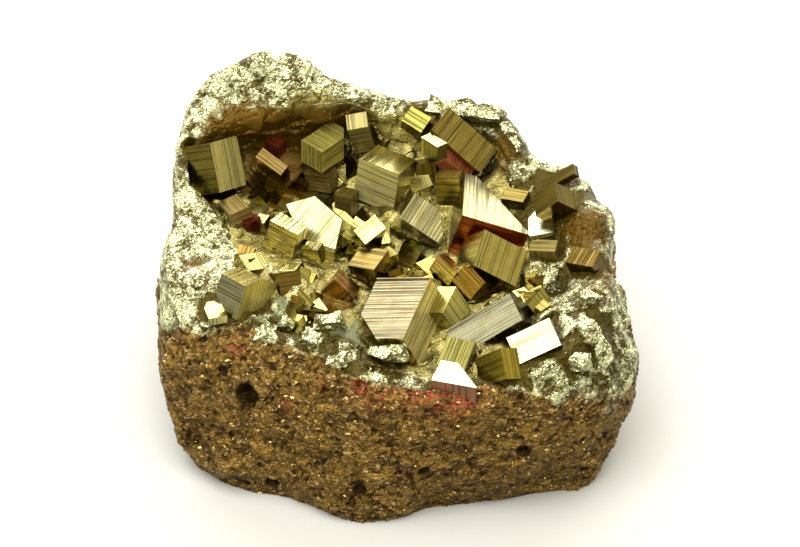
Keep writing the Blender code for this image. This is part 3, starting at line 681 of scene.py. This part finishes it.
# How far up the profile the dull wall reaches, by bearing: 2 is the brow and 3 the crest.
WALL_REACH = (
    (-170, 1.6), (-160, 2.7), (-150, 3.4), (-131, 3.6), (-117, 3.6), (-108, 3.0), (-90, 3.5),
    (-75, 3.9), (-62, 3.4), (-50, 2.8), (-40, 2.3), (-28, 1.65), (30, 1.6), (150, 1.5),
)
# How far in the granular crust reaches, by bearing: 4 is the lip and 5 the hollow's floor.
CRUST_REACH = (
    (-173, 5.15), (-150, 5.2), (-120, 5.1), (-100, 4.9), (-80, 4.2), (-60, 4.4), (-40, 5.0),
    (30, 5.1), (50, 4.4), (80, 4.0), (110, 3.8), (135, 4.0), (160, 4.8),
)
# Both borders wander, in waves of this spacing and weight. They wander this far along the profile
# and are this wide.
BORDER_WAVES = ((3.0, 1.0), (9.0, 0.7))
WALL_BORDER = (0.35, 0.25)
CRUST_BORDER = (0.2, 0.15)
# Chips are flat facets, each tilted its own way: (width, tilt, how far one steps out from the next).
WALL_GRAINS = (0.9, 0.3, 0.2)
CRUST_PLATES = (2.2, 0.09, 0.1)
CRUST_CRUMPLES = (0.8, 0.2, 0.06)
TORN_LUMPS = (3.6, 0.3, 0.7)
HALF_GROWN_FACES = (3.2, 0.2, 0.3)
# Odd factors, so that the tilts and the steps of neighbouring chips are unlike.
TILT_KEY = 17.3
STEP_KEY = 9.1
# Low swells under the chips, pores in the wall, and creases between the plates and the crumples.
SWELL_SPACING = 2.6
SWELL_HEIGHT = 0.3
HOLLOW_RISE = 0.2
PORE_SPACING = 1.4
PORE_SHIFT = Vector((7, 3, 1))
PORE_RARITY = 0.38
PORE_DEPTH = 1.3
PLATE_CREASES = 2.4
CRUMPLE_CREASES = 0.8
CREASE_HEIGHT = 0.06
# Where the crust is torn into coarse lumps: (x, y, z, reach, share).
TORN_SPOTS = (
    (-13.0, -16.0, 27.5, 6.0, 1.0),
    (33.0, -17.0, 27.0, 5.0, 1.0),
    (24.0, -14.0, 27.0, 4.0, 1.0),
    (-4.0, -22.0, 27.0, 5.0, 1.0),
)
# The crust keeps this clear of the large crystals. There it is this much lower, and its relief is
# less by this share.
CLEARING = 1.3
CLEARING_DEPTH = 0.5
CLEARING_SHARE = 0.6
# Pits: (bearing, along the profile, radius, depth).
PITS = (
    (-138, 1.9, 1.7, 2.8),
    (-129, 0.6, 0.9, 1.3),
    (-101, 1.2, 0.8, 1.3),
    (-82, 1.2, 0.8, 1.1),
    (-55, 1.35, 1.0, 1.5),
    (147, 3.6, 0.8, 2.2),
)
# Rust-pink stains on the wall: (bearing, along the profile, reach, strength). They are blotchy.
STAINS = (
    (-73, 3.3, 3.4, 1.1),
    (-82, 3.3, 2.8, 1.0),
    (-66, 3.1, 2.4, 0.8),
    (-96, 2.7, 2.6, 0.6),
    (-103, 2.8, 2.0, 0.6),
    (-147, 2.7, 1.4, 0.9),
    (-126, 1.9, 1.2, 0.7),
    (-118, 2.6, 1.2, 0.7),
    (-70, 2.4, 2.0, 0.5),
)
BLOTCH_SPACING = 0.8
BLOTCH_MIDDLE = 0.4
BLOTCH_CONTRAST = 3
# Where the metal is painted brown and dull as shade, under the lobe, in the deep of the hollow and
# in other spots, and where grey-green dust clings to it: (x, y, z, reach, strength).
BROWNED_SHADE_SPOTS = (
    (-27.0, 20.0, 40.5, 6.5, 1.2),
    (-19.5, 23.0, 32.0, 9.0, 1.0),
    (-10.0, 27.0, 36.0, 5.0, 0.7),
    (-33.0, 0.0, 29.5, 2.5, 0.8),
    (31.0, 6.0, 31.0, 5.5, 0.8),
    (17.0, 22.0, 34.0, 5.0, 0.6),
    (35.0, -6.0, 28.0, 6.0, 0.5),
)
DUSTY = (
    (22.6, -8.0, 28.0, 3.2, 1.0),
    (-18.7, -9.5, 28.0, 2.6, 0.8),
    (-7.4, -13.8, 27.5, 3.4, 0.8),
    (5.0, 5.0, 27.0, 4.0, 0.5),
)
# Such a patch, of painted shade or of dust, ends where its strength falls to this, in a ragged edge.
PATCH_END = 0.45
PATCH_EDGE_SPACING = 1.5
PATCH_EDGE = 0.25


def patch_at(point, spots):
    """How strongly a patch of these spots lies at a point, ragged at its edge: from 0 to 1."""
    ragged = PATCH_EDGE * noise.noise(point / PATCH_EDGE_SPACING)
    return ease(spread(point, spots) - PATCH_END + ragged, PATCH_EDGE)


def chips(point, width, tilt, step):
    """How far flat chips, each tilted its own way, stand out at a point."""
    centre = noise.voronoi(point / width)[1][0]
    own = noise.cell_vector(centre * TILT_KEY) - Vector((0.5, 0.5, 0.5))
    slope = 2 * tilt * own
    return slope.dot(point - centre * width) + step * (noise.cell(centre * STEP_KEY) - 0.5)


def creases(point, spacing):
    """Sharp crests between soft hollows, as in crumpled foil."""
    return CREASE_HEIGHT * (1 - 4 * abs(noise.noise(point / spacing)))


def wall_relief(point):
    """Grains of about a millimetre, on swells of a few, and pores."""
    pore = max(0.0, noise.noise(point / PORE_SPACING + PORE_SHIFT) - PORE_RARITY)
    swell = SWELL_HEIGHT * noise.noise(point / SWELL_SPACING)
    return chips(point, *WALL_GRAINS) + swell - PORE_DEPTH * pore


def crust_relief(point):
    """Foil-like plates of two millimetres, crumpled into ones a third as long; coarser where torn."""
    plates = chips(point, *CRUST_PLATES) + creases(point, PLATE_CREASES)
    crumples = chips(point, *CRUST_CRUMPLES) + creases(point, CRUMPLE_CREASES)
    return plates + crumples + spread(point, TORN_SPOTS) * chips(point, *TORN_LUMPS)


def hollow_relief(point):
    """Smooth metal that flows up between the crystals, with a few half-grown faces."""
    swell = SWELL_HEIGHT * noise.noise(point / SWELL_SPACING)
    return chips(point, *HALF_GROWN_FACES) + swell + HOLLOW_RISE


def closeness(points):
    """How near each point lies to a large crystal: 1 in it, and near 0 from twice the clearing."""
    nearest = np.full(len(points), np.inf)
    for _, right, up, height, drawn, size, _ in CRYSTALS:
        offsets = points - np.array(corner_place(right, up, height))
        local = offsets @ np.array(edge_directions(drawn)).T
        outside = np.maximum(np.maximum(-local, local - np.array(size)), 0)
        nearest = np.minimum(nearest, np.linalg.norm(outside, axis=1))
    return np.exp(-((nearest / CLEARING) ** 2))


def shares_at(point, bearing, along):
    """How much of the surface at a point is crust rather than wall, and how much of that is hollow."""
    wander = sum(weight * noise.noise(point / spacing) for spacing, weight in BORDER_WAVES)
    shares = []
    for reach, (sway, width) in ((WALL_REACH, WALL_BORDER), (CRUST_REACH, CRUST_BORDER)):
        shares.append(ease(along - reach_at(bearing, reach) - sway * wander, width))
    return shares


def relief_at(point, crust, hollow, close):
    """How far the surface stands out from the plain form at a point."""
    relief = (1 - crust) * wall_relief(point)
    if crust:
        relief += crust * (1 - hollow) * crust_relief(point)
    if hollow:
        relief += hollow * hollow_relief(point)
    relief -= close * crust * (CLEARING_DEPTH + CLEARING_SHARE * relief)
    for place, radius, depth in pit_places:
        relief -= depth * math.exp(-(((point - place).length / radius) ** 4))
    return relief


def stain_at(point):
    """How strongly the wall is stained at a point."""
    blotch = BLOTCH_MIDDLE + BLOTCH_CONTRAST * noise.noise(point / BLOTCH_SPACING)
    return spread(point, stain_places) * max(0.0, min(1.0, blotch))


def lump_mesh():
    """The lump's mesh, with what its material reads at each point.

    zone: share of crust, of stain and of hollow; relief_shade_dust: how far the point stands out,
    which sets the painted shade of crevices, how much painted brown shade lies on it, and how dusty
    it is.
    """
    form, form_points, form_places = stone_form()
    tree = kdtree.KDTree(len(form_points))
    for i, point in enumerate(form_points):
        tree.insert(point, i)
    tree.balance()
    mesh = even_mesh(form, GRID)
    spots = np.empty(len(mesh.vertices) * 3, np.float32)
    mesh.vertices.foreach_get("co", spots)
    closes = closeness(spots.reshape(-1, 3))
    normals = [vertex.normal.copy() for vertex in mesh.vertices]
    zones = np.zeros((len(mesh.vertices), 3), np.float32)
    relief_shade_dusts = np.zeros((len(mesh.vertices), 3), np.float32)
    for vertex, normal, zone, relief_shade_dust, close in zip(mesh.vertices, normals, zones, relief_shade_dusts, closes):
        point = vertex.co.copy()
        if point.z < GRID / 2 and normal.z < FACING_DOWN:
            vertex.co.z = 0.0
            continue
        crust, hollow = shares_at(point, *form_places[tree.find(point)[1]])
        relief = relief_at(point, crust, hollow, close)
        zone[:] = crust, stain_at(point), hollow
        relief_shade_dust[:] = relief, patch_at(point, BROWNED_SHADE_SPOTS), patch_at(point, DUSTY)
        vertex.co = point + normal * relief
        vertex.co.z = max(vertex.co.z, LEAST_RISE if point.z > FOOT_HEIGHT else 0.0)
    for name, values in (("zone", zones), ("relief_shade_dust", relief_shade_dusts)):
        attribute = mesh.attributes.new(name, "FLOAT_VECTOR", "POINT")
        attribute.data.foreach_set("vector", values.ravel())
    return mesh


# The material's patterns lie in layers, twice as wide as they are high: grains of 0.45 by 0.2 mm,
# specks of 0.4 by 0.2 mm, and patches of 3 by 1.4 mm.
LAYERING = (0.8, 0.8, 1.7)
GRAINS_PER_MM = 2.8
SWIRLS_PER_MM = 2.0
SPECKS_PER_MM = 3.0
PATCHES_PER_MM = 0.42
# The wall's weathered brown, dark and light, the painted shade of its crevices, and what lies on it
# or shows through.
WALL_DARK = "#281C06"
WALL_LIGHT = "#80642C"
BARE_GRAIN = "#8A7254"
CREVICE_SHADE = "#2A1C06"
RUST = "#7E3529"
GLINT = "#D8C07C"
# The crust, weathered and fresh, the hollow's metal, dark and light, and the painted brown shade
# and the dust on them.
CRUST_WEATHERED = "#3A3006"
CRUST_FRESH = "#C0C29C"
HOLLOW_DARK = "#4E441C"
HOLLOW_LIGHT = "#8E8654"
BROWN_SHADE = "#4A3606"
DUST = "#6C7054"
# How much of the brown wall, of the weathered crust and of the painted brown shade is bare metal.
# Fresh crust is nothing else.
WALL_METALLIC = 0.6
BROWN_METALLIC = 0.5
# Weathered grains are too ragged to mirror much from their brown skin.
WEATHERED_SPECULAR = 0.15


def grain_patterns(tree):
    """The patterns in the lump: each grain's own colour, specks, patches, and the last two added."""
    # Lengths in the patterns are millimetres: object coordinates are metres.
    place = add_node(tree, "TexCoord", {}).outputs["Object"]
    in_mm = add_node(tree, "VectorMath", {0: place, "Scale": 1 / MM}, operation="SCALE").outputs[0]
    layered = add_node(tree, "VectorMath", {0: in_mm, 1: LAYERING}, operation="MULTIPLY").outputs[0]
    # The grains are pushed out of round by the swirl.
    settings = {"Vector": layered, "Scale": SWIRLS_PER_MM, "Detail": 2.0}
    swirl = add_node(tree, "TexNoise", settings).outputs["Color"]
    pushed = add_node(tree, "VectorMath", {0: layered, 1: swirl}, operation="ADD").outputs[0]
    grains = add_node(tree, "TexVoronoi", {"Vector": pushed, "Scale": GRAINS_PER_MM}).outputs["Color"]
    settings = {"Vector": layered, "Scale": SPECKS_PER_MM, "Detail": 5.0, "Roughness": 0.75}
    specks = add_node(tree, "TexNoise", settings).outputs[0]
    settings = {"Vector": layered, "Scale": PATCHES_PER_MM, "Detail": 3.0, "Roughness": 0.6}
    patches = add_node(tree, "TexNoise", settings).outputs[0]
    both = add_node(tree, "Math", {0: specks, 1: 1.5, 2: patches}, operation="MULTIPLY_ADD").outputs[0]
    return grains, specks, patches, both


def wall_looks(tree, grains, both, standing, stain):
    """The wall's colour, and where it glints.

    It is brown, with painted shade in its crevices, pinkish grey where grains are bare, and rusty in
    places. A grain here and there glints.
    """
    _, own_glint, own_bareness = add_node(tree, "SeparateColor", {0: grains}).outputs
    light = add_node(tree, "MapRange", {0: both, 1: 1.03, 2: 1.47}).outputs[0]
    brown = add_node(tree, "Mix", {0: light, 6: WALL_DARK, 7: WALL_LIGHT}, data_type="RGBA").outputs[2]
    bare = add_node(tree, "MapRange", {0: own_bareness, 1: 0.9, 2: 0.94}).outputs[0]
    grained = add_node(tree, "Mix", {0: bare, 6: brown, 7: BARE_GRAIN}, data_type="RGBA").outputs[2]
    # Crevices are darkened by painted shade, by how far the surface lies in.
    out = add_node(tree, "MapRange", {0: standing, 1: -0.45, 2: -0.05}).outputs[0]
    crevice_shaded = add_node(tree, "Mix", {0: out, 6: CREVICE_SHADE, 7: grained}, data_type="RGBA").outputs[2]
    rusty = add_node(tree, "MapRange", {0: stain, 1: 0.0, 2: 0.9, 4: 0.8}).outputs[0]
    stained = add_node(tree, "Mix", {0: rusty, 6: crevice_shaded, 7: RUST}, data_type="RGBA").outputs[2]
    glint = add_node(tree, "MapRange", {0: own_glint, 1: 0.985, 2: 0.99}).outputs[0]
    colour = add_node(tree, "Mix", {0: glint, 6: stained, 7: GLINT}, data_type="RGBA").outputs[2]
    return colour, glint


def crust_looks(tree, both, standing, hollow, painted_brown_shade, dusty):
    """The colour of the crust and the hollow, and how clean their metal is.

    The crust is bright in patches and weathered brown between them, and its crevices take the same
    brown as painted shade. The hollow is olive metal. Both carry a painted brown shade in places,
    and are dusty in places.
    """
    in_patch = add_node(tree, "MapRange", {0: both, 1: 1.14, 2: 1.3}).outputs[0]
    # Lower parts of the crust take the weathered brown: painted shade in its crevices.
    proud = add_node(tree, "MapRange", {0: standing, 1: -0.3, 2: -0.05}).outputs[0]
    fresh = add_node(tree, "Math", {0: in_patch, 1: proud}, operation="MULTIPLY").outputs[0]
    tones = {0: fresh, 6: CRUST_WEATHERED, 7: CRUST_FRESH}
    crust = add_node(tree, "Mix", tones, data_type="RGBA").outputs[2]
    light = add_node(tree, "MapRange", {0: both, 1: 1.0, 2: 1.5}).outputs[0]
    tones = {0: light, 6: HOLLOW_DARK, 7: HOLLOW_LIGHT}
    olive = add_node(tree, "Mix", tones, data_type="RGBA").outputs[2]
    metal = add_node(tree, "Mix", {0: hollow, 6: crust, 7: olive}, data_type="RGBA").outputs[2]
    # Painted shade: brown laid on where the shade spots lie.
    brown_shaded = add_node(tree, "Mix", {0: painted_brown_shade, 6: metal, 7: BROWN_SHADE}, data_type="RGBA").outputs[2]
    dust = add_node(tree, "MapRange", {0: dusty, 4: 0.8}).outputs[0]
    colour = add_node(tree, "Mix", {0: dust, 6: brown_shaded, 7: DUST}, data_type="RGBA").outputs[2]
    clean = add_node(tree, "Math", {0: fresh, 1: hollow}, operation="MAXIMUM").outputs[0]
    return colour, clean


def grain_tilts(tree, grains, specks, patches, hollow):
    """The surface's direction, with each grain's own tilt added to it and specks on that.

    The tilts are strong in parts of the crust, and weak in the hollow.
    """
    own = add_node(tree, "VectorMath", {0: grains, 1: (0.5, 0.5, 0.5)}, operation="SUBTRACT").outputs[0]
    in_crust = add_node(tree, "MapRange", {0: patches, 1: 0.4, 2: 0.6, 3: 0.35, 4: 0.95}).outputs[0]
    amount = add_node(tree, "Mix", {0: hollow, 2: in_crust, 3: 0.14}, data_type="FLOAT").outputs[0]
    tilt = add_node(tree, "VectorMath", {0: own, "Scale": amount}, operation="SCALE").outputs[0]
    plain = add_node(tree, "NewGeometry", {}).outputs["Normal"]
    tilted = add_node(tree, "VectorMath", {0: plain, 1: tilt}, operation="ADD").outputs[0]
    unit = add_node(tree, "VectorMath", {0: tilted}, operation="NORMALIZE").outputs[0]
    settings = {"Strength": 0.4, "Distance": 0.3 * MM, "Height": specks, "Normal": unit}
    return add_node(tree, "Bump", settings).outputs[0]


def lump_material():
    """Granular pyrite, a mass of metal grains, broken and weathered.

    The crust has the metal's lustre, crumpled like foil. The wall is dull brown with glints.
    """
    material = bpy.data.materials.new("granular pyrite")
    material.use_nodes = True
    tree = material.node_tree
    shader = tree.nodes["Principled BSDF"]
    shader.inputs["Specular IOR Level"].default_value = WEATHERED_SPECULAR
    zone = add_node(tree, "Attribute", {}, attribute_name="zone").outputs["Vector"]
    crust, stain, hollow = add_node(tree, "SeparateXYZ", {0: zone}).outputs
    relief_shade_dust = add_node(tree, "Attribute", {}, attribute_name="relief_shade_dust").outputs["Vector"]
    standing, painted_brown_shade, dusty = add_node(tree, "SeparateXYZ", {0: relief_shade_dust}).outputs
    grains, specks, patches, both = grain_patterns(tree)
    wall_colour, glint = wall_looks(tree, grains, both, standing, stain)
    crust_colour, clean = crust_looks(tree, both, standing, hollow, painted_brown_shade, dusty)
    tones = {0: crust, 6: wall_colour, 7: crust_colour}
    colour = add_node(tree, "Mix", tones, data_type="RGBA").outputs[2]
    tree.links.new(colour, shader.inputs["Base Color"])

    # Weathered brown and the painted brown shade scatter the light. Fresh metal, the hollow and the
    # glints mirror it.
    lustre = add_node(tree, "MapRange", {0: clean, 3: BROWN_METALLIC, 4: 1.0}).outputs[0]
    shares = {0: painted_brown_shade, 2: lustre, 3: BROWN_METALLIC}
    crust_metallic = add_node(tree, "Mix", shares, data_type="FLOAT").outputs[0]
    shares = {0: crust, 2: WALL_METALLIC, 3: crust_metallic}
    plain = add_node(tree, "Mix", shares, data_type="FLOAT").outputs[0]
    metallic = add_node(tree, "Math", {0: plain, 1: glint}, operation="MAXIMUM").outputs[0]
    tree.links.new(metallic, shader.inputs["Metallic"])
    wall_rough = add_node(tree, "MapRange", {0: glint, 3: 0.42, 4: 0.3}).outputs[0]
    crust_rough = add_node(tree, "MapRange", {0: dusty, 3: 0.26, 4: 0.6}).outputs[0]
    shares = {0: crust, 2: wall_rough, 3: crust_rough}
    rough = add_node(tree, "Mix", shares, data_type="FLOAT").outputs[0]
    tree.links.new(rough, shader.inputs["Roughness"])
    normal = grain_tilts(tree, grains, specks, patches, hollow)
    tree.links.new(normal, shader.inputs["Normal"])
    return material


LUMP_PIECES = ("granular_wall", "bright_crust", "hollow_lining")


def lump_pieces(mesh):
    """The lump in three meshes, wall, crust and hollow, parted between their even squares."""
    zones = np.empty(len(mesh.vertices) * 3, np.float32)
    mesh.attributes["zone"].data.foreach_get("vector", zones)
    crust, _, hollow = zones.reshape(-1, 3).T
    kinds = np.where(hollow > 0.5, 2, np.where(crust > 0.5, 1, 0))
    for kind, name in enumerate(LUMP_PIECES):
        bm = bmesh.new()
        bm.from_mesh(mesh)
        others = [face for face in bm.faces if kinds[face.verts[0].index] != kind]
        bmesh.ops.delete(bm, geom=others, context="FACES")
        underside = [face for face in bm.faces if all(vertex.co.z == 0 for vertex in face.verts)]
        bmesh.ops.dissolve_faces(bm, faces=underside, use_verts=True)
        piece = bpy.data.meshes.new(name)
        bm.to_mesh(piece)
        bm.free()
        yield name, piece


pit_places = [(stone_point(bearing, along), radius, depth) for bearing, along, radius, depth in PITS]
stain_places = [(*stone_point(bearing, along), reach, most) for bearing, along, reach, most in STAINS]
granular_pyrite = lump_material()
for name, piece_mesh in lump_pieces(lump_mesh()):
    to_object(name, piece_mesh, granular_pyrite)

# Torn plates: crystals of the rim that were wrenched and crumpled as the lump was broken out, bright
# as foil where they are fresh. Blocks like the others, divided finely and pushed out of shape, in
# waves of this spacing and height.
TORN_CUTS = 11
TORN_WAVES = ((2.2, 0.9), (0.8, 0.32))
TORN_SEED = 4


def torn_plates():
    """The torn plates in their places."""
    for name, right, up, above, drawn, size, _ in CRYSTALS:
        if name not in TORN:
            continue
        bm = bmesh.new()
        bmesh.ops.create_cube(bm, size=1.0, matrix=Matrix.Translation((0.5, 0.5, 0.5)))
        bmesh.ops.subdivide_edges(bm, edges=bm.edges[:], cuts=TORN_CUTS, use_grid_fill=True)
        bmesh.ops.scale(bm, vec=size, verts=bm.verts)
        axes = Matrix(edge_directions(drawn)).transposed()
        place = Matrix.Translation(corner_place(right, up, above)) @ axes.to_4x4()
        bmesh.ops.transform(bm, matrix=place, verts=bm.verts)
        for vertex in bm.verts:
            pushes = [noise.noise_vector(vertex.co / spacing) * height for spacing, height in TORN_WAVES]
            vertex.co += sum(pushes, Vector())
        yield bm


noise.seed_set(TORN_SEED)
torn_mesh = joined(torn_plates())
# For the material they are crust all over, with no painted shade and no dust on it.
all_crust = [1.0, 0.0, 0.0] * len(torn_mesh.vertices)
torn_mesh.attributes.new("zone", "FLOAT_VECTOR", "POINT").data.foreach_set("vector", all_crust)
torn_mesh.attributes.new("relief_shade_dust", "FLOAT_VECTOR", "POINT")
to_object("torn_plates", torn_mesh, granular_pyrite)

# The small crystals between the large ones, of the same smooth, striated pyrite. They grew last, any
# way round, and stand sunk by about half in the lump: a few that stand clear, and a crowd of broken,
# half-grown ones that fill the hollow. None hides a large one.
# (how many, how far in along the profile, edge lengths, how far their middles are sunk, clearance
# from the large ones, seed)
SMALL_SETS = (
    (220, (4.9, 5.95), (2.2, 4.2), 0.7, 1.5, 5),
    (700, (5.0, 5.95), (2.6, 5.4), 1.2, -0.6, 8),
)
SMALL_TINTS = ("#9A925C", "#8A8248", "#7A6C38", "#6A582C", "#8A8250")
LOOKS_SEED = 21


def crowds(place, right, up, height, drawn, size, clearance):
    """Whether a place lies in a large crystal or closer to it than the clearance."""
    offset = place - corner_place(right, up, height)
    for direction, length in zip(edge_directions(drawn), size):
        if not -clearance < offset.dot(direction) < length + clearance:
            return False
    return True


def hides(corners, trees):
    """Whether one of these corners stands in front of a large crystal, as the camera sees it."""
    return any(tree.ray_cast(corner, -towards_camera)[0] for tree in trees for corner in corners)


def small_crystals():
    """The small crystals in their places."""
    looks = random.Random(LOOKS_SEED)
    large = list(large_crystals()) + list(torn_plates())
    trees = [BVHTree.FromBMesh(bm) for bm in large]
    for count, reach, lengths, sink, clearance, seed in SMALL_SETS:
        chance = random.Random(seed)
        for number in range(count):
            place = stone_point(chance.uniform(-180, 180), chance.uniform(*reach))
            place.z -= sink
            size = [chance.uniform(*lengths) for _ in range(3)]
            turn = Euler([chance.uniform(0, math.tau) for _ in range(3)]).to_matrix().to_4x4()
            if any(crowds(place, *crystal[1:6], clearance) for crystal in CRYSTALS):
                continue
            to_middle = Matrix.Translation([-length / 2 for length in size])
            matrix = Matrix.Translation(place) @ turn @ to_middle
            ends = ((0, length) for length in size)
            corners = [matrix @ Vector(corner) for corner in itertools.product(*ends)]
            if hides(corners, trees):
                continue
            bm = striated_block(size, 1, False, looks)
            note_looks(bm, 1, number, [Vector(linear(looks.choice(SMALL_TINTS)))] * 3)
            bmesh.ops.transform(bm, matrix=matrix, verts=bm.verts)
            yield bm


to_object("small_crystals", joined(small_crystals()), pyrite_crystal)

# The floor: a sheet of matt white paper, 3 m square, laid flat. Its grey is set so that the lights
# bring it up to white and still leave the lump's shade on it.
FLOOR_HALF = 1.5
PAPER = 0.36
PAPER_ROUGHNESS = 0.9
corners = [(x * FLOOR_HALF, y * FLOOR_HALF, 0) for x, y in ((-1, -1), (1, -1), (1, 1), (-1, 1))]
floor_mesh = bpy.data.meshes.new("floor")
floor_mesh.from_pydata(corners, [], [(0, 1, 2, 3)])
floor = bpy.data.objects.new("floor", floor_mesh)
bpy.context.scene.collection.objects.link(floor)
paper = bpy.data.materials.new("white paper")
paper.use_nodes = True
paper_shader = paper.node_tree.nodes["Principled BSDF"]
paper_shader.inputs["Base Color"].default_value = (PAPER, PAPER, PAPER, 1)
paper_shader.inputs["Roughness"].default_value = PAPER_ROUGHNESS
floor_mesh.materials.append(paper)

# The studio: soft boxes above and behind, which the crystal faces mirror, in a warm dim room.
# (name, azimuth from the front towards the right, elevation, distance, width, height, brightness)
# They stand round a point in the middle of the lump. Lengths here are in metres.
LIGHTS = (
    ("overhead", -28, 68, 0.5, 0.6, 0.58, 6.0),
    ("back", 180, 29, 0.6, 1.1, 0.5, 6.0),
)
LIT_POINT = Vector((0, 0, 0.03))
ROOM = (0.9, 0.82, 0.52)
ROOM_BRIGHTNESS = 1.3
for name, azimuth, elevation, distance, width, height, brightness in LIGHTS:
    data = bpy.data.lights.new(name, "AREA")
    data.shape = "RECTANGLE"
    data.size = width
    data.size_y = height
    data.energy = brightness * math.pi * width * height
    light = bpy.data.objects.new(name, data)
    round_angle = math.radians(azimuth)
    climb = math.radians(elevation)
    level = Vector((math.sin(round_angle), -math.cos(round_angle), 0))
    direction = level * math.cos(climb) + Vector((0, 0, math.sin(climb)))
    light.location = direction * distance + LIT_POINT
    light.rotation_euler = direction.to_track_quat("Z", "Y").to_euler()
    bpy.context.scene.collection.objects.link(light)

world = bpy.data.worlds.new("studio")
world.use_nodes = True
room = world.node_tree.nodes["Background"]
room.inputs["Color"].default_value = (*ROOM, 1)
room.inputs["Strength"].default_value = ROOM_BRIGHTNESS
bpy.context.scene.world = world
bpy.context.scene.view_settings.view_transform = "Standard"
